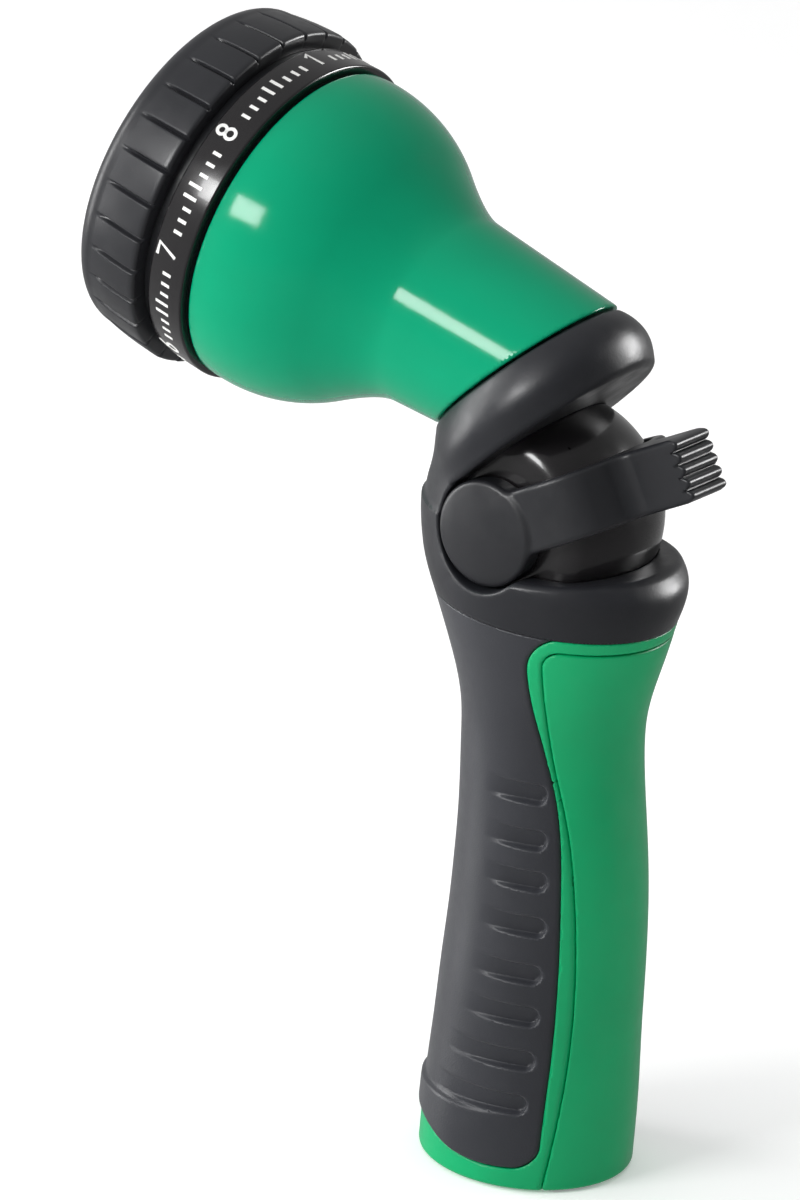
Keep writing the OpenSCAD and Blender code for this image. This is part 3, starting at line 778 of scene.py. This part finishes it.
def label_outline(_):
    """Section of the label ring, from its inner rear edge round the outside."""
    points = [(BAND_BORE, BAND_REAR)]
    points += arc_points(32.75, BAND_REAR + BAND_ROUND, BAND_ROUND, -90, 0, 6)
    points += arc_points(32.45, BAND_FRONT - BAND_ROUND, BAND_ROUND, 0, 90, 6)
    return np.array(points + [(BAND_BORE, BAND_FRONT)])


# The grip ring: its barrel, its two outer corners, and the grooves across its rear part
RING_R = 35.05
RING_CROWN = 1.1
RING_CROWN_LEN = 11.6
REAR_CORNER = 0.7
REAR_CORNER_AT = 34.3
FRONT_CORNER = 3.62
FRONT_CORNER_AT = 30.3
GROOVES = 30
GROOVE_AT_R = 35
GROOVE_FULL = 7.5
GROOVE_FADE = 4.5
RIB_LEAN = 0.16
RING_REAR = 11.2
RING_FRONT = 26.8
RING_SEAT = 23.75
RING_BORE = 31.5
GROOVE_HALF = 0.62
GROOVE_DEPTH = 0.95


def ring_outline(turn):
    """Section of the grip ring: its outside is pressed in where a groove runs."""
    pitch = 2 * math.pi / GROOVES
    off = abs((turn + pitch) % pitch - pitch / 2) * GROOVE_AT_R
    notch = GROOVE_DEPTH * (1 - smooth_step(np.array(off / GROOVE_HALF)))
    lean = RIB_LEAN * ((turn + pitch / 2) % pitch / pitch - 0.5)
    rows = []
    rear = arc_points(REAR_CORNER_AT, RING_REAR + REAR_CORNER, REAR_CORNER, -90, 0, 6)
    ts = np.linspace(RING_REAR + 0.9, RING_FRONT - 4.0, 22)
    barrel = [(RING_R - RING_CROWN * ((t - RING_REAR) / RING_CROWN_LEN) ** 2, t) for t in ts]
    front = arc_points(FRONT_CORNER_AT, RING_FRONT - 3.6, FRONT_CORNER, 2, 90, 14)
    for r, t in rear + barrel + front:
        share = 1 - smooth_step(np.array((t - RING_REAR - GROOVE_FULL) / GROOVE_FADE))
        rows.append((r - float(notch * share) + lean * float(share), t))
    lip = [(29.2, RING_FRONT), (28.6, RING_FRONT - 0.2), (28.2, RING_FRONT - 0.7), (27.45, 25.2)]
    seat = [(27.4, RING_SEAT), (RING_BORE, RING_SEAT)]
    return np.array([(RING_BORE, RING_REAR)] + rows + lip + seat)


def ring_turns():
    """Angles round the ring, close together where the grooves are."""
    pitch = 2 * math.pi / GROOVES
    fine = np.radians(np.array([0, 0.18, 0.36, 0.54, 0.72, 0.9, 1.08]))
    coarse = np.radians(np.array([1.6, 2.4, 3.4, 4.6]))
    half = np.concatenate([fine, coarse])
    centre = np.concatenate([-half[:0:-1], half, [pitch / 2]])
    return np.concatenate([(i + 0.5) * pitch + centre for i in range(GROOVES)])


# ---- Marks on the label ring ----

def bow(cx, cy, radius, start, end, count=12):
    """An arc of a digit's stroke."""
    a = np.radians(np.linspace(start, end, count))
    return [(cx + radius * math.cos(v), cy + radius * math.sin(v)) for v in a]


# The strokes of each digit, in millimetres across and up
DIGITS = {
    1: [[(0.7, 3.5), (1.7, 4.3), (1.7, 0.2)]],
    2: [bow(1.5, 3.05, 1.2, 165, -35) + [(0.3, 0.3), (2.8, 0.3)]],
    3: [bow(1.45, 3.25, 1.05, 150, -90) + bow(1.45, 1.25, 1.05, 90, -150)],
    4: [[(2.1, 0.2), (2.1, 4.3), (0.2, 1.4), (2.9, 1.4)]],
    5: [[(2.6, 4.2), (0.7, 4.2), (0.5, 2.4)] + bow(1.45, 1.5, 1.3, 125, -145)],
    6: [bow(1.5, 1.45, 1.2, 0, 360, 20), [(0.35, 1.7), (0.8, 3.1), (2.2, 4.3)]],
    7: [[(0.3, 4.2), (2.7, 4.2), (1.1, 0.2)]],
    8: [bow(1.5, 3.3, 0.95, 0, 360, 20), bow(1.5, 1.3, 1.1, 0, 360, 20)],
}
DIGIT_HALF = 1.5
TICKS = 8
TALL_TICKS = (4, 5)
STROKE = 0.34
MARK_TAPER = 0.036
MARK_BASE = 3.9
MARK_TOP = 33.3
MARK_ROOT = 33.05


def stroke_mesh(line, start_turn, points, faces):
    """One printed stroke: a narrow raised band that follows a line on the ring."""
    line = np.array(line, float)
    steps = np.diff(line, axis=0)
    steps /= np.linalg.norm(steps, axis=1)[:, None]
    ahead = np.vstack([steps, steps[-1:]]) + np.vstack([steps[:1], steps])
    ahead /= np.maximum(np.linalg.norm(ahead, axis=1), 0.3)[:, None]
    across = np.stack([-ahead[:, 1], ahead[:, 0]], 1) * STROKE
    line[0] -= steps[0] * STROKE * 0.7
    line[-1] += steps[-1] * STROKE * 0.7
    base = len(points)
    for centre, width in zip(line, across):
        for radius in (MARK_TOP, MARK_ROOT):
            for sign in (-1, 1):
                u, v = centre + sign * width
                r = radius - MARK_TAPER * (MARK_BASE + v)
                turn = np.array([start_turn + u / MARK_TOP])
                points.append(head_point(np.array([r]), turn, np.array([MARK_BASE + v]))[0])
    count = len(line)
    for i in range(count - 1):
        a, b = base + 4 * i, base + 4 * (i + 1)
        for p, q in ((0, 1), (1, 3), (3, 2), (2, 0)):
            faces.append((b + p, b + q, a + q, a + p))
    end = base + 4 * (count - 1)
    faces.append((base + 1, base + 3, base + 2, base))
    faces.append((end + 2, end + 3, end + 1, end))


def label_marks():
    """Dial numbers 1 to 8 at the pattern positions, with tick marks between them."""
    points, faces = [], []
    patterns = len(DIGITS)
    for i in range(patterns):
        centre = 2 * math.pi * i / patterns
        for line in DIGITS[i + 1]:
            stroke_mesh(line, centre - DIGIT_HALF / MARK_TOP, points, faces)
        for k in range(1, TICKS + 1):
            turn = centre + 2 * math.pi / patterns * (0.13 + 0.74 * (k - 0.5) / TICKS)
            height = 2.6 if k in TALL_TICKS else 1.5
            stroke_mesh([(0, 0.3), (0, 0.3 + height)], turn, points, faces)
    add_mesh("label_marks", points, faces, WHITE_INK, "selector", sharp=30)


# ---- Hose thread ----

def hose_thread():
    """The internal thread of the hose inlet: a ridge wound round the socket's wall."""
    pitch, turns, steps, run_out, start = 2.21, 3.9, 72, 24, 1.6
    root, crest, foot_half, crest_half = 13.48, 12.5, 0.95, 0.28
    points, faces = [], []
    rings = int(steps * turns) + 1
    for i in range(rings):
        a = 2 * math.pi * i / steps
        fade = min(1, i / run_out, (rings - 1 - i) / run_out)
        top = root - (root - crest) * max(fade, 0.03)
        z = start + pitch * i / steps
        for r, dz in ((root, -foot_half), (top, -crest_half), (top, crest_half), (root, foot_half)):
            points.append((r * math.cos(a), r * math.sin(a), z + dz * max(fade, 0.1)))
    for i in range(rings - 1):
        for k in range(4):
            m = (k + 1) % 4
            faces.append((4 * i + k, 4 * i + m, 4 * i + 4 + m, 4 * i + 4 + k))
    last = 4 * (rings - 1)
    faces.append((3, 2, 1, 0))
    faces.append((last, last + 1, last + 2, last + 3))
    add_mesh("hose_thread", points, faces, BLACK_PLASTIC, "root", sharp=25)


# ---- Building ----

def build_pieces():
    moulded("head_shell", head_shell, (-84, -34, 130), (0, 34, 202), 0.6, GREEN_GLOSS, "root",
            ["head_body"])
    moulded("housing", valve_housing, (-46, -23, 111), (24, 23, 176), 0.5, SOFT_BLACK, "root",
            ["valve_housing"])
    moulded("chamber", valve_chamber, (-31, -16, 104), (15, 16, 163), 0.6, BLACK_GLOSS, "root",
            ["valve_chamber"])
    moulded("lever_arm", lever_form, (-24, -23, 112), (32, 23, 160), 0.4, BLACK_PLASTIC, "lever",
            ["lever"])
    moulded("handle_front", front_shell, (-31, -23, -2), (18, 23, 114), 0.55, GREEN_SATIN, "root",
            ["handle_front_shell"])
    moulded("handle_rear", rear_cover, (4, -23, -2), (23, 23, 114), 0.5, GREEN_SATIN, "root",
            ["handle_rear_cover"])
    moulded("soft_grip", grip, (-31, -23, 2), (16, 23, 114), 0.45, SOFT_GRIP, "root",
            ["grip"])
    turned("label_band", label_outline, np.radians(np.arange(0, 360, 2)), BLACK_GLOSS, "selector",
           ["label_ring"])
    turned("selector_grip", ring_outline, ring_turns(), BLACK_PLASTIC, "selector",
           ["grip_ring"], sharp=40)
    label_marks()
    hose_thread()


def finish_cad_nodes():
    """Gives every CAD node that is still shown the procedural material of its slot."""
    slots = {row["node"]: row["material_slot"] for row in frame["record"]["subparts"]}
    for name, node in frame["nodes"].items():
        for place in node.material_slots:
            place.material = CAD_FINISH[slots[name]]


# ---- Camera, floor and light ----

CAMERA_AZIMUTH = math.radians(35)
CAMERA_ELEVATION = math.radians(22)
CAMERA_ROLL = math.radians(5.3)
CAMERA_DISTANCE = 3.0
FRAME_HEIGHT = 0.228
SENSOR = 24.0
TARGET = Vector((-0.0409, 0.0, 0.1004))
FLOOR_HALF = 4.0
FLOOR_GAP = 0.0004
WORLD_LEFT = 0.5
WORLD_RIGHT = 0.14


def add_camera():
    """Looks at the object from the right and above, with a slight roll."""
    towards = Vector((math.sin(CAMERA_AZIMUTH) * math.cos(CAMERA_ELEVATION),
                      -math.cos(CAMERA_AZIMUTH) * math.cos(CAMERA_ELEVATION), math.sin(CAMERA_ELEVATION)))
    right = Vector((0, 0, 1)).cross(towards).normalized()
    up = towards.cross(right)
    c, s = math.cos(CAMERA_ROLL), math.sin(CAMERA_ROLL)
    right, up = right * c + up * s, up * c - right * s
    camera = bpy.data.objects.new("camera", bpy.data.cameras.new("camera"))
    camera.data.sensor_fit = "VERTICAL"
    camera.data.sensor_height = SENSOR
    camera.data.lens = SENSOR * CAMERA_DISTANCE / FRAME_HEIGHT
    camera.data.clip_end = 30
    turn = Matrix((right, up, towards)).transposed().to_4x4()
    camera.matrix_world = Matrix.Translation(TARGET + towards * CAMERA_DISTANCE) @ turn
    bpy.context.scene.collection.objects.link(camera)
    bpy.context.scene.camera = camera


def add_floor():
    material, tree, main = shader("studio_floor")
    place = tree.nodes.new("ShaderNodeTexCoord").outputs["Object"]
    tree.links.new(noise_ramp(tree, 3, 2, (0.93, 0.93, 0.93), (0.95, 0.95, 0.95), place),
                   main.inputs["Base Color"])
    main.inputs["Roughness"].default_value = 0.95
    main.inputs["Specular IOR Level"].default_value = 0.0
    main.inputs["Emission Color"].default_value = (1, 1, 1, 1)
    main.inputs["Emission Strength"].default_value = 0.25
    size = FLOOR_HALF
    mesh = bpy.data.meshes.new("floor")
    mesh.from_pydata([(-size, -size, 0), (size, -size, 0), (size, size, 0), (-size, size, 0)], [],
                     [(0, 1, 2, 3)])
    mesh.materials.append(material)
    floor = bpy.data.objects.new("floor", mesh)
    floor.location.z = -FLOOR_GAP
    floor.visible_glossy = False
    bpy.context.scene.collection.objects.link(floor)


def add_light(name, direction, distance, width, height, power, mirrored=True, shining=True):
    """A soft rectangular light that faces the middle of the object.

    One that isn't mirrored doesn't show in gloss, and one that isn't shining shows only in gloss."""
    direction = Vector(direction).normalized()
    light = bpy.data.lights.new(name, "AREA")
    light.shape = "RECTANGLE"
    light.size, light.size_y = width, height
    light.energy = power
    place = bpy.data.objects.new(name, light)
    place.location = TARGET + direction * distance
    place.rotation_euler = direction.to_track_quat("Z", "Y").to_euler()
    place.visible_glossy = mirrored
    place.visible_diffuse = shining
    bpy.context.scene.collection.objects.link(place)


def add_studio():
    """Soft lights, and a white surround that is brighter on the left."""
    bpy.context.scene.view_settings.view_transform = "Standard"
    world = bpy.data.worlds.new("studio")
    bpy.context.scene.world = world
    world.use_nodes = True
    back = world.node_tree.nodes["Background"]
    back.inputs["Color"].default_value = (1, 1, 1, 1)
    nodes, links = world.node_tree.nodes, world.node_tree.links
    split = nodes.new("ShaderNodeSeparateXYZ")
    links.new(nodes.new("ShaderNodeTexCoord").outputs["Generated"], split.inputs["Vector"])
    fall = nodes.new("ShaderNodeMapRange")
    fall.inputs["From Min"].default_value, fall.inputs["From Max"].default_value = -1, 1
    fall.inputs["To Min"].default_value, fall.inputs["To Max"].default_value = WORLD_LEFT, WORLD_RIGHT
    links.new(split.outputs["X"], fall.inputs["Value"])
    links.new(fall.outputs["Result"], back.inputs["Strength"])
    add_light("key", (-0.25, -0.87, 0.46), 1.1, 0.42, 0.24, 6)
    add_light("left", (-0.93, -0.38, 0.1), 1.2, 0.4, 1.0, 9)
    add_light("front_fill", (-0.8, -0.7, 0.15), 1.6, 1.2, 1.2, 11, mirrored=False)
    add_light("rear_strip", (0.65, 0.7, 0.3), 1.2, 0.15, 0.6, 1.2)
    add_light("rear_shine", (0.52, 0.8, 0.29), 1.2, 0.45, 0.5, 15, shining=False)
    add_light("top", (-0.1, 0.0, 1.0), 1.6, 1.6, 1.6, 10, mirrored=False)


add_camera()
add_floor()
add_studio()
build_pieces()
finish_cad_nodes()
